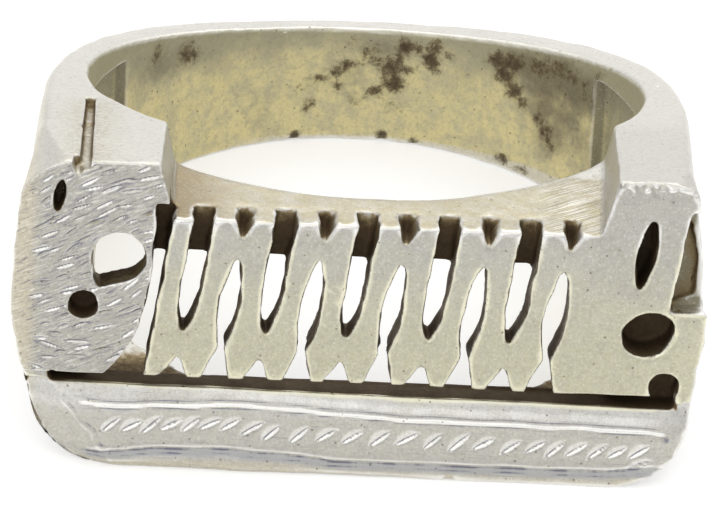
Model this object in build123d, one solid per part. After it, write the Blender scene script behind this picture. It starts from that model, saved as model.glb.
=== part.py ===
from build123d import *
import math
import os

# A silver name ring, cast in one piece and sawn open at the front, lying on its side.
# Its face is a flat bar with a pierced border of leaves above it where a name would be.
# The ring is drawn in its own frame, in millimetres: X runs along the face to the right, Y
# from the face to the back and Z along the finger hole, with zero in the middle of the hole.
# At the end it is tipped so that it rests on its lower rim, on the plane Z = 0.

# Finger hole and the walls round it
finger_bore = 19.0
front_wall = 2.4
side_wall = 1.25
back_wall = 1.7
side_swell = 0.4
hole_edge_round = 0.15
rim_round = 0.35

# Height of the ring along the finger, at the face and at the back
face_height = 10.9
back_height = 3.7
rim_crown = 0.33

# Face seen from the front
face_width = 21.6
face_shift = -0.43
left_swell = 0.4
right_swell = 0.68
left_lean = 1.2
right_lean = 0.5
upper_left_round = 2.2
upper_right_round = 1.6
lower_left_round = 2.6
lower_right_round = 2.6
side_round = 5.0

# Openwork plate and the spaces round it
plate_thickness = 1.25
saddle_drop = 1.9
rail_height = 1.65
left_block_reach = 2.57
right_block_reach = 1.58
saddle_wall_lean = 0.5
saddle_wall_splay = 4.0
bar_height = 3.0
bar_drop = 0.95
bar_shelf = 0.05
floor_lip = 0.9
saw_gap = 0.42
saw_left_margin = 0.9
saw_right_margin = 0.15
saw_fall = 0.2
saw_widening = 0.1

# Border of slanted leaves: one gap to each pitch, with a web of metal above and below
lean = 8.0
gap_pitch = 1.33
gap_width = 0.68
notch_width = 1.0
notch_depth = 0.7
top_web = 1.15
foot_web = 0.75

# Leaf block at the left and bud at the right
drop_radius = 0.88
drop_rise = 0.2
drop_wall = 0.35
drop_point = 0.4
eye_radius = 0.5
eye_depth = 1.0
eye_side = 1.1
eye_fall = 1.7
slit_width = 0.36
slit_length = 1.3
slit_depth = 0.8
slit_margin = 1.0
top_groove_depth = 0.3
top_groove_length = 7.9
top_groove_margin = 1.89
bud_shift = -0.1
bud_slot_width = 0.6
bud_slot_depth = 1.3
bud_slot_rise = 0.75
bud_slot_fall = 0.35
bud_recess_radius = 0.88
bud_recess_flatness = 0.85
bud_recess_turn = 25.0
bud_recess_shift = 0.15
bud_recess_level = 0.54
bud_recess_depth = 1.3
heel_radius = 0.5
heel_margin = 0.55
heel_rise = 0.25
step_depth = 0.9
step_rise = 0.9
step_fall = 1.0
step_margin = 0.05
step_lean = 0.5
step_wall = 0.35
step_hollow_depth = 1.25

# Lines and rope marks on the bar
bevel_height = 0.8
bevel_depth = 0.3
foot_bevel = 0.15
line_width = 0.2
line_depth = 0.1
line_spacing = 0.24
rope_pitch = 0.742
rope_length = 0.8
rope_width = 0.28
rope_depth = 0.09
rope_slant = 38.0
rope_left_margin = 3.0
rope_right_margin = 1.36
rope_level = 0.27

# Hollows inside the side walls
hollow_depth = 0.45
hollow_length = 4.3
hollow_height = 4.9
hollow_middle = 2.67

# How far a cutter runs past the surface that it opens, and past one that it only meets
overrun = 0.5
seam = 0.05

# Fineness of the measurement that finds the middle of the finished ring, and how near
# to a surface the points of an edge have to be to lie on it
mesh_tolerance = 0.01
touch = 0.01

bore_radius = finger_bore / 2
face_y = -(bore_radius + front_wall)
back_y = bore_radius + back_wall
mid_y = (face_y + back_y) / 2
half_width = bore_radius + side_wall
half_face = face_height / 2
taper = (face_height - back_height) / 2 / (back_y - face_y)
face_left = face_shift - face_width / 2
face_right = face_shift + face_width / 2

saddle_left = left_block_reach - bore_radius
saddle_right = bore_radius - right_block_reach
saddle_height = half_face - saddle_drop
rail_bottom = saddle_height - rail_height
bar_top = bar_height - half_face
plate_bottom = bar_top + saw_gap

# Outer curve of the shank from the side (first row) to the middle of the back (last row)
# columns: share of the half width, shares of the depth behind the hole's middle at left and right
shank_curve = [
    (1.00, 0.00, 0.00),
    (0.90, 0.42, 0.47),
    (0.66, 0.76, 0.80),
    (0.34, 0.925, 0.955),
    (0.00, 1.00, 1.00),
]

# Levels at which the shank's plan is drawn, from the lower rim to the upper one
plan_levels = [-1, -0.5, 0, 0.5, 1]

# Leaf block's side along the gap, from the saw cut up to the rail
# columns: distance from the first slat in gap widths, share of the height up to the rail
block_side = [
    (3.40, 0.00),
    (1.50, 0.46),
    (0.95, 1.00),
]


def rim_height(y):
    """Height of the lower and, mirrored, of the upper rim over the middle plane."""
    return half_face - taper * (y - face_y)


def crowned_rim(y):
    """Height of the upper rim, which bulges a little between the face and the back."""
    share = (y - mid_y) / (back_y - mid_y)
    return rim_height(y) + rim_crown * (1 - share**2)


def outline_face(level):
    """Plan of the ring at one level, from -1 at the lower rim to 1 at the upper one."""
    bulge = 1 - level**2
    wide = half_width + side_swell * bulge
    deep = back_y + side_swell * bulge
    front_right = (face_right + right_swell * bulge, face_y)
    front_left = (face_left - left_swell * bulge, face_y)
    right = [(x * wide, y * deep) for x, _, y in shank_curve]
    left = [(-x * wide, y * deep) for x, y, _ in reversed(shank_curve[:-1])]
    lift = rim_crown * max(level, 0)
    plan = [front_right] + right + left + [front_left]
    points = [(x, y, level * rim_height(y) + lift) for x, y in plan]
    return make_face([Spline(*points), Line(points[-1], points[0])])


def side_profile():
    """Slab that holds the ring's profile as seen from the side."""
    low_y = face_y - overrun
    high_y = back_y + side_swell + overrun
    top = [(y, crowned_rim(y)) for y in (high_y, mid_y, low_y)]
    foot = [(y, -rim_height(y)) for y in (low_y, high_y)]
    edges = [
        ThreePointArc(*top),
        Line(top[2], foot[0]),
        Line(foot[0], foot[1]),
        Line(foot[1], top[0]),
    ]
    return extrude(Plane.YZ * make_face(edges), amount=face_width, both=True)


def front_profile():
    """Slab that rounds the corners of the face and leans the lower half of its sides."""
    left = face_left - left_swell
    right = face_right + right_swell
    corners = [
        (left + left_lean, -half_face),
        (right - right_lean, -half_face),
        (right, 0),
        (right, half_face),
        (left, half_face),
        (left, 0),
    ]
    lower = [lower_left_round, lower_right_round]
    upper = [upper_right_round, upper_left_round]
    rounds = lower + [side_round] + upper + [side_round]
    outline = make_face(FilletPolyline(*corners, radius=rounds, close=True))
    return extrude(Plane.XZ * outline, amount=2 * finger_bore, both=True)


def blank_ring():
    """The solid ring before its face is opened."""
    body = loft([outline_face(level) for level in plan_levels]) & side_profile()
    body = fillet(body.edges().filter_by(is_shank_edge), rim_round)
    body = body - Cylinder(bore_radius, 3 * face_height)
    body = fillet(body.edges().filter_by(is_hole_edge), hole_edge_round)
    return body & front_profile()


def sampled(edge):
    """Points along an edge."""
    return edge.positions([0, 0.25, 0.5, 0.75, 1])


def is_shank_edge(edge):
    """True for the outer edges of both rims, behind the face."""
    lower = all(abs(p.Z + rim_height(p.Y)) < touch for p in sampled(edge))
    upper = all(abs(p.Z - crowned_rim(p.Y)) < touch for p in sampled(edge))
    return (lower or upper) and (edge @ 0.5).Y > face_y + seam


def is_hole_edge(edge):
    """True for the edges of the finger hole."""
    return all(abs(math.hypot(p.X, p.Y) - bore_radius) < touch for p in sampled(edge))


def pushed_in(outline, depth, start=-overrun):
    """Cutter of a face outline, from start to depth behind the face."""
    plane = Plane(origin=(0, face_y + depth, 0), x_dir=(1, 0, 0), z_dir=(0, -1, 0))
    return extrude(plane * outline, amount=depth - start)


def leaned(x, z):
    """Point on a slanted line that crosses the saddle's height at x."""
    return (x + (z - saddle_height) * math.tan(math.radians(lean)), z)


def closed_shape(points):
    return make_face(Polyline(*points, close=True))


def lancet(x, low, high, width):
    """Slanted gap with a point at both ends."""
    foot = leaned(x, low)
    tip = leaned(x, high)
    return make_face([SagittaArc(foot, tip, width / 2), SagittaArc(tip, foot, width / 2)])


def strip(x, low, high, width):
    """Slanted slot with straight sides."""
    sides = [leaned(x - width / 2, low), leaned(x + width / 2, low)]
    tops = [leaned(x + width / 2, high), leaned(x - width / 2, high)]
    return closed_shape(sides + tops)


def notch(x, base, apex, width):
    """Three-cornered notch from the base line to its apex."""
    return closed_shape([leaned(x - width / 2, base), leaned(x + width / 2, base), leaned(x, apex)])


def saddle():
    """The low stretch between the two blocks, with the right wall splayed a little."""
    foot_left = saddle_left + saddle_wall_lean
    foot_right = saddle_right - saddle_wall_lean
    top = half_face + rim_crown + overrun
    outline = closed_shape([
        (foot_left, saddle_height),
        (foot_right, saddle_height),
        (saddle_right, half_face),
        (saddle_right, top),
        (saddle_left, top),
        (saddle_left, half_face),
    ])
    straight = pushed_in(outline, -face_y)
    splay = Pos(saddle_right, face_y) * Rot(Z=-saddle_wall_splay) * Pos(-saddle_right, -face_y)
    return [straight, splay * straight]


def pocket():
    """Space behind the plate, open to the finger hole, with the floor falling to the hole."""
    left = drop_centre()[0] - drop_radius
    mid = saddle_left - drop_wall / 2
    outline = closed_shape([
        (left, bar_top),
        (saddle_right, bar_top),
        (saddle_right, rail_bottom),
        (mid, rail_bottom),
        (mid, saddle_height),
        (left, saddle_height),
    ])
    space = pushed_in(outline, -face_y, plate_thickness)
    front = face_y + plate_thickness + bar_shelf
    floor = [(y, floor_lip - rim_height(y)) for y in (-bore_radius, 0)]
    ramp = closed_shape([(front, rail_bottom), (front, bar_top)] + floor + [(0, rail_bottom)])
    middle = (saddle_right + left) / 2
    half_span = (saddle_right - left) / 2
    return [space, Pos(X=middle) * extrude(Plane.YZ * ramp, amount=half_span, both=True)]


def leaf_border():
    """Gaps, notches and slots of the border, worked out from the pitch."""
    first = saddle_left + saddle_wall_lean + gap_pitch - gap_width / 2
    last = saddle_right - saddle_wall_lean - gap_pitch / 2
    count = round((last - first) / gap_pitch) + 1
    over = saddle_height + overrun
    under = plate_bottom - saw_gap / 2
    high = saddle_height - top_web
    shapes = []
    for i in range(count):
        x = first + i * gap_pitch
        if i % 2:
            low = plate_bottom + foot_web
            shapes.append(lancet(x, low, high, gap_width))
            shapes.append(notch(x, over, saddle_height - notch_depth, notch_width))
            shapes.append(notch(x, under, low + notch_depth, notch_width))
        else:
            low = plate_bottom + 2 * foot_web
            shapes.append(lancet(x, low, high, gap_width))
            shapes.append(strip(x, (low + high) / 2, over, gap_width))
            shapes.append(notch(x, under, low - notch_depth, notch_width))
    return [pushed_in(shape, plate_thickness + seam) for shape in shapes]


def drop_centre():
    """Middle of the round end of the drop, a wall's width from the gap beside it."""
    return (saddle_left - drop_wall - drop_radius, rail_bottom + drop_rise)


def eye_centre():
    """Middle of the eye, below and to the left of the drop."""
    x, z = drop_centre()
    return (x - eye_side, z - eye_fall)


def drop_opening():
    """The drop: a circle drawn out to a point that looks at the eye."""
    x, z = drop_centre()
    rim = Edge.make_circle(drop_radius).moved(Location((x, z, 0)))
    share = (drop_radius + drop_point) / math.hypot(eye_side, eye_fall)
    tip = (x - eye_side * share, z - eye_fall * share)
    return make_hull([rim, Edge.make_line(tip, (tip[0] + seam, tip[1]))])


def block_gap():
    """Gap between the leaf block's rounded side and the first slat of the border."""
    slat = saddle_left + saddle_wall_lean
    under = plate_bottom - saw_gap / 2
    over = saddle_height + overrun
    rows = [(slat - gap_width * x, under + (rail_bottom - under) * z) for x, z in block_side]
    side = Spline(*rows, (rows[-1][0] + seam, over))
    foot = leaned(slat, under)
    head = leaned(slat, over)
    return make_face([side, Line(side @ 1, head), Line(head, foot), Line(foot, side @ 0)])


def left_block():
    """Openings of the leaf block: the drop, its eye, the gap beside it and the small cuts."""
    eye = Pos(*eye_centre()) * Circle(eye_radius)
    slit_x = face_left + slit_margin
    slit = lancet(slit_x, saddle_height, saddle_height + slit_length, slit_width)
    groove_x = face_left + top_groove_margin
    over = half_face + rim_crown
    top_notch = closed_shape([
        (groove_x - notch_width / 2, over),
        (groove_x + notch_width / 4, over),
        (groove_x - notch_width / 4, half_face - notch_depth),
    ])
    return [
        pushed_in(drop_opening(), plate_thickness + seam),
        pushed_in(block_gap(), plate_thickness + seam),
        pushed_in(eye, eye_depth),
        pushed_in(slit, slit_depth),
        pushed_in(top_notch, slit_depth),
        top_groove(groove_x),
    ]


def top_groove(x):
    """Groove along the top of the left block, following the rim."""
    ends = [face_y - overrun, face_y + top_groove_length]
    bed = [(y, crowned_rim(y) - top_groove_depth) for y in ends]
    roof = [(y, crowned_rim(y) + overrun) for y in reversed(ends)]
    profile = Plane.YZ * closed_shape(bed + roof)
    return Pos(X=x) * extrude(profile, amount=slit_width / 2, both=True)


def right_bud():
    """Slot, recess and heel of the tall bud."""
    middle = (saddle_right + face_right) / 2 + bud_shift
    slot_foot = rail_bottom - bud_slot_fall
    slot = lancet(middle, slot_foot, saddle_height + bud_slot_rise, bud_slot_width)
    recess_z = plate_bottom + (rail_bottom - plate_bottom) * bud_recess_level
    shape = Ellipse(bud_recess_radius, bud_recess_radius * bud_recess_flatness)
    recess = Pos(middle + bud_recess_shift, recess_z) * Rot(Z=bud_recess_turn) * shape
    heel = Pos(face_right - heel_margin, plate_bottom + heel_rise) * Circle(heel_radius)
    return [
        pushed_in(slot, bud_slot_depth),
        pushed_in(recess, bud_recess_depth),
        pushed_in(heel, plate_thickness),
    ]


def side_step():
    """Step to the right of the bud, and the hollow in it behind a thin wall."""
    top = saddle_height + step_rise
    foot = rail_bottom - step_fall
    head_x = face_right - step_margin
    foot_x = head_x - step_lean
    outside = face_right + right_swell + overrun
    wall_x = face_right + right_swell - step_wall
    step = closed_shape([(head_x, top), (outside, top), (outside, foot), (foot_x, foot)])
    hollow = closed_shape([
        (head_x, top - step_wall),
        (wall_x, (top + foot) / 2),
        (wall_x, foot + step_wall),
        (foot_x, foot),
    ])
    return [pushed_in(step, step_depth), pushed_in(hollow, step_hollow_depth)]


def along_bar(outline):
    """A profile of the bar's front drawn in Y and Z, run along the whole bar."""
    return extrude(Plane.YZ * outline, amount=face_width, both=True)


def bar_lines():
    """Upper bevel, the two fine lines below the rope, and the lower bevel."""
    front = face_y - overrun
    over = bar_top + saw_gap / 2
    ridge = bar_top - bevel_height
    foot = -half_face
    bevel = closed_shape([
        (face_y, ridge),
        (face_y + bevel_depth, bar_top),
        (face_y + bevel_depth, over),
        (front, over),
        (front, ridge),
    ])
    lower = closed_shape([
        (face_y, foot + foot_bevel),
        (face_y + foot_bevel, foot),
        (face_y + foot_bevel, foot - overrun),
        (front, foot - overrun),
        (front, foot + foot_bevel),
    ])
    cutters = [along_bar(bevel), along_bar(lower)]
    for i in range(2):
        z = foot + foot_bevel + (i + 1) * line_spacing
        groove = [(front, z - line_width), (face_y + line_depth, z), (front, z + line_width)]
        cutters.append(along_bar(closed_shape(groove)))
    return cutters


def rope_marks():
    """Row of slanted cuts along the middle of the bar."""
    start = face_left + rope_left_margin
    end = face_right - rope_right_margin
    count = int((end - start) / rope_pitch) + 1
    z = bar_top - bevel_height - (bar_height - bevel_height) * rope_level
    mark = Rot(Z=rope_slant) * SlotOverall(rope_length, rope_width)
    return [pushed_in(Pos(start + i * rope_pitch, z) * mark, rope_depth) for i in range(count)]


def bar_front():
    """Everything cut along the bar, which falls a little towards the right."""
    cutters = bar_lines() + rope_marks()
    return [Rot(Y=bar_drop) * cutter for cutter in cutters]


def saw_cut():
    """Thin cut that parts the openwork from the bar, falling and widening to the right."""
    left = face_left + saw_left_margin
    right = face_right - saw_right_margin
    foot = bar_top - saw_fall
    outline = closed_shape([
        (left, bar_top),
        (right, foot),
        (right, foot + saw_gap + saw_widening),
        (left, plate_bottom),
    ])
    return pushed_in(outline, plate_thickness + seam)


def side_hollows():
    """Shallow hollows inside the left and right walls of the finger hole."""
    drum = Cylinder(bore_radius + hollow_depth, hollow_height)
    box = Box(bore_radius, hollow_length, hollow_height)
    return [drum & (Pos(side * bore_radius, hollow_middle) * box) for side in (-1, 1)]


def name_ring():
    """The whole ring in its own frame."""
    cutters = saddle() + pocket() + [saw_cut()] + leaf_border()
    cutters += left_block() + right_bud() + side_step() + bar_front() + side_hollows()
    ring = blank_ring()
    for cutter in cutters:
        ring = ring - cutter
    return ring


def laid_down(ring):
    """The ring tipped on to its lower rim, with the origin below the middle of its box."""
    tipped = Rot(X=-math.degrees(math.atan(taper))) * ring
    points = tipped.tessellate(mesh_tolerance)[0]
    across = [point.X for point in points]
    along = [point.Y for point in points]
    lowest = min(point.Z for point in points)
    middle = ((min(across) + max(across)) / 2, (min(along) + max(along)) / 2)
    return Pos(-middle[0], -middle[1], -lowest) * tipped


os.makedirs("parts", exist_ok=True)
export_step(laid_down(name_ring()), "parts/name_ring.step")
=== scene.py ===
import math
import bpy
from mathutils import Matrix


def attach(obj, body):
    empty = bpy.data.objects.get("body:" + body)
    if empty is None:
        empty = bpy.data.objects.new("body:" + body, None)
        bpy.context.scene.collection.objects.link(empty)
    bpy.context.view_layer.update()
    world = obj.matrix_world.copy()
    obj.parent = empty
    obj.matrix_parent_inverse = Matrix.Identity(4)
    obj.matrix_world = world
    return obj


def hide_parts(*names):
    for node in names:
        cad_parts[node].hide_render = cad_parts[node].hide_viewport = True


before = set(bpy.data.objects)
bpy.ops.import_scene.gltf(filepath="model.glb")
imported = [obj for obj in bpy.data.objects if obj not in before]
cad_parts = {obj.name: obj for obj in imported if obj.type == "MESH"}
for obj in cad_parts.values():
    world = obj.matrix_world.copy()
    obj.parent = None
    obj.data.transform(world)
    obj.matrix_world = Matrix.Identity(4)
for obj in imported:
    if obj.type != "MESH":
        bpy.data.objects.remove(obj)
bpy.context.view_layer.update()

from types import SimpleNamespace

import bmesh
import bpy
import numpy as np
from mathutils import Matrix, Vector
from mathutils.bvhtree import BVHTree

MM = 0.001

# The ring's own frame, as in the CAD: X along the face, Y to the back, Z along the finger hole.
# TILT, in degrees, and HOLE, in millimetres, say how that frame lies in the row frame.
TILT = 8.858
HOLE = Vector((0.2893, 0.5341, 3.5526))

# Measures of the CAD in that frame, in mm: radius of the finger hole, front of the face, level of the
# saddle, upper edge of the bar and height of the rope in the bar's middle
BORE = 9.5
FACE_Y = -11.9
SADDLE_Z = 3.55
BAR_TOP = -2.35
ROPE_Z = -3.84

# How much the bar falls to the right, in degrees
BAR_DROP = 0.95

# The leaf block's side at the first gap: its X at the saddle's level, and how much it leans to the left
# for each mm down from there; and the height of the block's foot
BLOCK_EDGE = -6.5
BLOCK_LEAN = 0.14
BLOCK_FOOT = -2.3

# Camera of the photograph: a long lens close to the ring, a little to its left
# Angles in degrees, distance and target in metres, lens and sensor in millimetres
CAMERA_AZIMUTH = 2.44
CAMERA_ELEVATION = 32.0
CAMERA_ROLL = 3.58
CAMERA_DISTANCE = 200.87 * MM
CAMERA_TARGET = Vector((0.453, 0.077, 1.164)) * MM
LENS = 288.55
SENSOR = 36.0

# Fineness of the worn surface in mm, and how many triangles it keeps
VOXEL = 0.075
TRIANGLES = 196000

# How much sooner the plain parts of the surface are thinned than the cut ones
PLAIN_WEIGHT = 0.9
EVENNESS = 0.015

# A point faces the front where the Y of its normal is below this
FRONT = -0.75

ring_to_row = Matrix.Translation(HOLE) @ Matrix.Rotation(math.radians(-TILT), 4, "X")
row_to_ring = ring_to_row.inverted()


# Mesh in the ring's frame

def applied(piece):
    """The object's mesh with its modifiers applied, which replaces its old mesh."""
    graph = bpy.context.evaluated_depsgraph_get()
    mesh = bpy.data.meshes.new_from_object(piece.evaluated_get(graph))
    old = piece.data
    piece.modifiers.clear()
    piece.data = mesh
    bpy.data.meshes.remove(old)
    return mesh


def remeshed_copy(node, name):
    """A copy of a CAD node in millimetres in the ring's frame, as one even skin of small faces."""
    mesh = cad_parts[node].data.copy()
    mesh.transform(row_to_ring @ Matrix.Scale(1 / MM, 4))
    piece = bpy.data.objects.new(name, mesh)
    bpy.context.scene.collection.objects.link(piece)
    remesh = piece.modifiers.new("remesh", "REMESH")
    remesh.mode = "VOXEL"
    remesh.voxel_size = VOXEL
    smooth = piece.modifiers.new("smooth", "SMOOTH")
    smooth.factor = 0.5
    smooth.iterations = 3
    applied(piece)
    return piece


def points_of(mesh):
    co = np.empty(len(mesh.vertices) * 3, np.float32)
    mesh.vertices.foreach_get("co", co)
    return co.reshape(-1, 3).astype(np.float64)


def normals_of(mesh):
    normals = np.empty(len(mesh.vertices) * 3, np.float32)
    mesh.vertices.foreach_get("normal", normals)
    return normals.reshape(-1, 3).astype(np.float64)


def set_points(mesh, co):
    mesh.vertices.foreach_set("co", co.astype(np.float32).ravel())
    mesh.update()


def smoothstep(low, high, value):
    share = np.clip((value - low) / (high - low), 0, 1)
    return share * share * (3 - 2 * share)


def bell(value, middle, width, power=2):
    """One in the middle, and falling on both sides, to about a third at one width from it."""
    return np.exp(-((value - middle) / width) ** power)


def between(value, low, high):
    return (value > low) & (value < high)


def waves(co, size, seed, count=28):
    """A smooth random field of about unit strength, with bumps of the given size in mm."""
    rng = np.random.default_rng(seed)
    total = np.zeros(len(co))
    for _ in range(count):
        direction = rng.normal(size=3)
        direction /= np.linalg.norm(direction)
        pace = 2 * math.pi / (size * rng.uniform(0.7, 1.6))
        total += np.sin(co @ direction * pace + rng.uniform(0, 2 * math.pi))
    return total / math.sqrt(count / 2)


# Cuts in the face

# Least width that a cut is reckoned with, and the deepest that cuts go together, in mm
THINNEST = 0.01
DEEPEST = 0.13

# The painted shade lines along a cut's bottom and below its lower edge: place and width in mm, and strength
BOTTOM_LINE = (0.035, 0.04)
BOTTOM_DARK = 0.9
LOWER_LINE = (-0.04, 0.035)
LOWER_DARK = 0.6


def stroke(co, front, cuts, row):
    """One graver's cut: a pointed groove, with a wide wall above that is painted pale and a thin one below
    with a painted highlight.
    """
    x, z, angle, half_length, upper, lower, deep, shine = row
    depth, paint, facet = cuts
    dx = co[:, 0] - x
    dz = co[:, 2] - z
    reach = half_length + upper
    near = front & (np.abs(dx) < reach) & (np.abs(dz) < reach)
    if not near.any():
        return
    cos = math.cos(angle)
    sin = math.sin(angle)
    along = (dx[near] * cos + dz[near] * sin) / half_length
    across = dz[near] * cos - dx[near] * sin
    taper = np.clip(1 - along**2, 0, 1)
    wide = np.where(across > 0, upper, lower) * taper
    groove = np.clip(1 - np.abs(across) / np.maximum(wide, THINNEST), 0, 1)
    wall = np.clip(1 - across / np.maximum(upper * taper**0.8, THINNEST), 0, 1)
    clear = smoothstep(0.015, 0.06, wide)
    polish = shine * clear * smoothstep(0.0, 0.3, groove) * (across < 0.01)
    bottom = bell(across, *BOTTOM_LINE) * np.sqrt(taper)
    below = bell(across + lower * taper, *LOWER_LINE) * np.sqrt(taper)
    depth[near] += deep * taper * groove
    paint[near] += polish - BOTTOM_DARK * bottom - LOWER_DARK * below
    facet[near] = np.maximum(facet[near], clear * smoothstep(0.0, 0.4, wall) * (across > 0.03))


def block_face(co):
    """True on the side of the first gap that the leaf block lies on."""
    x, _, z = co.T
    return (x < BLOCK_EDGE - np.maximum(SADDLE_Z - z, 0) * BLOCK_LEAN) & (z > BLOCK_FOOT)


# Rows of cuts on the leaf block: how many, where they start and end, the height at which the lowest one
# starts, the pitch, all in mm, and how much a row rises for each mm to the right
ROWS = 24
ROWS_LEFT = -11.2
ROWS_RIGHT = -6.3
ROWS_FOOT = -2.6
ROW_PITCH = 0.33
ROW_RISE = 0.34

# Below this height, in mm, the cuts follow the block's round foot
ROUND_FOOT = -0.4

# Share of the cuts that is left out, share that stays dull, and how strong the painted highlight of the
# dull ones and the others is
LEFT_OUT = 0.12
DULL_SHARE = 0.36
DULL_HIGHLIGHT = 0.3
POLISHED_HIGHLIGHT = 1.2


def block_strokes():
    """Cuts in loose rows that rise to the right and follow the block's round foot."""
    rng = np.random.default_rng(11)
    rows = []
    for i in range(ROWS):
        x = ROWS_LEFT + rng.uniform(0, 0.6)
        while x < ROWS_RIGHT:
            z = ROWS_FOOT + i * ROW_PITCH + (x - ROWS_LEFT) * ROW_RISE + rng.uniform(-0.14, 0.14)
            slope = 24 + 9 * math.sin(z * 1.1 + x * 0.8)
            if z < ROUND_FOOT:
                slope = 20 + 15 * (x + 9.0)
            angle = math.radians(slope + rng.uniform(-11, 11))
            half = rng.uniform(0.24, 0.58)
            shine = POLISHED_HIGHLIGHT if rng.uniform() > DULL_SHARE else DULL_HIGHLIGHT
            if rng.uniform() > LEFT_OUT:
                upper = rng.uniform(0.08, 0.17)
                lower = rng.uniform(0.045, 0.075)
                deep = rng.uniform(0.05, 0.11)
                rows.append((x + half, z, angle, half, upper, lower, deep, shine))
            x += half * 1.4 + rng.uniform(0.0, 0.3)
    return rows


def bar_height(x, z):
    """Height on the bar of a line that falls with it: z is its height in the middle."""
    return z - x * math.sin(math.radians(BAR_DROP))


# Courses along the bar, for the rope, the polished ridge and the wavy groove
# columns: x, and the height there before the bar's fall is taken off, both in mm
ROPE_COURSE = [
    (-8.2, -3.97), (-6.5, -3.86), (-4.2, -3.68), (-3.2, -3.85),
    (-2.4, -3.95), (1.0, -3.91), (8.0, -3.98), (9.5, -3.87),
]
RIDGE_COURSE = [
    (-9.6, -3.20), (-8.4, -3.33), (-5.6, -3.14), (-3.7, -3.05),
    (-1.4, -3.16), (1.2, -3.26), (9.2, -3.22), (9.9, -3.32),
]
GROOVE_COURSE = [
    (-9.3, -5.12), (-7.5, -4.89), (-5.8, -4.73), (-4.2, -4.68), (-2.6, -4.75),
    (-0.5, -4.93), (2.0, -4.86), (6.3, -4.81), (8.4, -4.73), (9.4, -4.55),
]


def course(x, rows):
    """Height of a course on the bar at each x, rounded between its points."""
    places, heights = zip(*rows)
    shifts = (-0.7, -0.35, 0, 0.35, 0.7)
    total = sum(np.interp(x + shift, places, heights) for shift in shifts)
    return bar_height(x, total / len(shifts))


# Where the rope starts and ends, where its marks are wide apart, the two pitches and the marks' depth,
# all in mm, and how strong the marks' painted highlight is
ROPE_LEFT = -8.2
ROPE_RIGHT = 9.5
ROPE_WIDE = (-3.2, 5.2)
WIDE_PITCH = 0.86
CLOSE_PITCH = 0.68
ROPE_DEPTH = 0.08
ROPE_SHINE = 1.3

# One flatter mark by itself, at this X and this far below the rope, in mm
STRAY_X = 9.25
STRAY_BELOW = 0.52


def rope_strokes():
    """The rope: leaning marks, close together at both ends and wider apart in the middle."""
    rng = np.random.default_rng(5)
    rows = []
    x = ROPE_LEFT
    while x < ROPE_RIGHT:
        z = course(x, ROPE_COURSE) + rng.uniform(-0.05, 0.05) - 0.07
        angle = math.radians(36 + rng.uniform(-8, 8))
        half = rng.uniform(0.45, 0.54)
        upper = rng.uniform(0.29, 0.36)
        lower = rng.uniform(0.065, 0.09)
        rows.append((x, z, angle, half, upper, lower, ROPE_DEPTH, ROPE_SHINE))
        pitch = WIDE_PITCH if between(x, *ROPE_WIDE) else CLOSE_PITCH
        x += pitch + rng.uniform(-0.06, 0.06)
    stray_z = course(STRAY_X, ROPE_COURSE) - STRAY_BELOW
    rows.append((STRAY_X, stray_z, math.radians(20), 0.5, 0.26, 0.06, 0.06, 0.6))
    return rows


def engraved(co, normals, inside):
    """Depth of the graver's cuts at each point, their painted highlights and shade, and their walls painted
    pale.

    They stay clear of the block's edges, where the share of points close by that face the front is low, and
    a painted highlight lies along those edges instead.
    """
    _, y, z = co.T
    front = (normals[:, 1] < FRONT) & (y < FACE_Y + 0.2)
    cuts = [np.zeros(len(co)) for _ in range(3)]
    block = front & block_face(co)
    for row in block_strokes():
        stroke(co, block, cuts, row)
    clear = np.where(block, smoothstep(0.72, 0.90, inside), 1)
    for row in rope_strokes():
        stroke(co, front & (z < -2.9), cuts, row)
    depth, paint, facet = (values * clear for values in cuts)
    return np.minimum(depth, DEEPEST), paint + 0.35 * block * (1 - clear), facet


# Lines along the ridge and along the wavy groove, painted as highlight and shade
# columns: middle and width across the course in mm, power of the bell, depth in mm, and painted light, a
# highlight above 0 and shade below it
RIDGE_LINES = [
    (0.12, 0.035, 2, 0.045, -0.8),
    (-0.11, 0.035, 2, 0.03, -0.8),
    (0.0, 0.062, 4, -0.06, 1.7),
]
GROOVE_LINES = [
    (0.0, 0.045, 2, 0.05, -1.35),
    (-0.175, 0.035, 2, 0.03, -0.9),
]

# Painted dark reflections at the bar's right end
# columns: x, height above the rope, widths along x and across it, all in mm, and rise for each mm
END_MARKS = [
    (10.05, 0.40, 0.25, 0.13, 0.0),
    (9.75, -0.72, 0.30, 0.06, 0.4),
]


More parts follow.
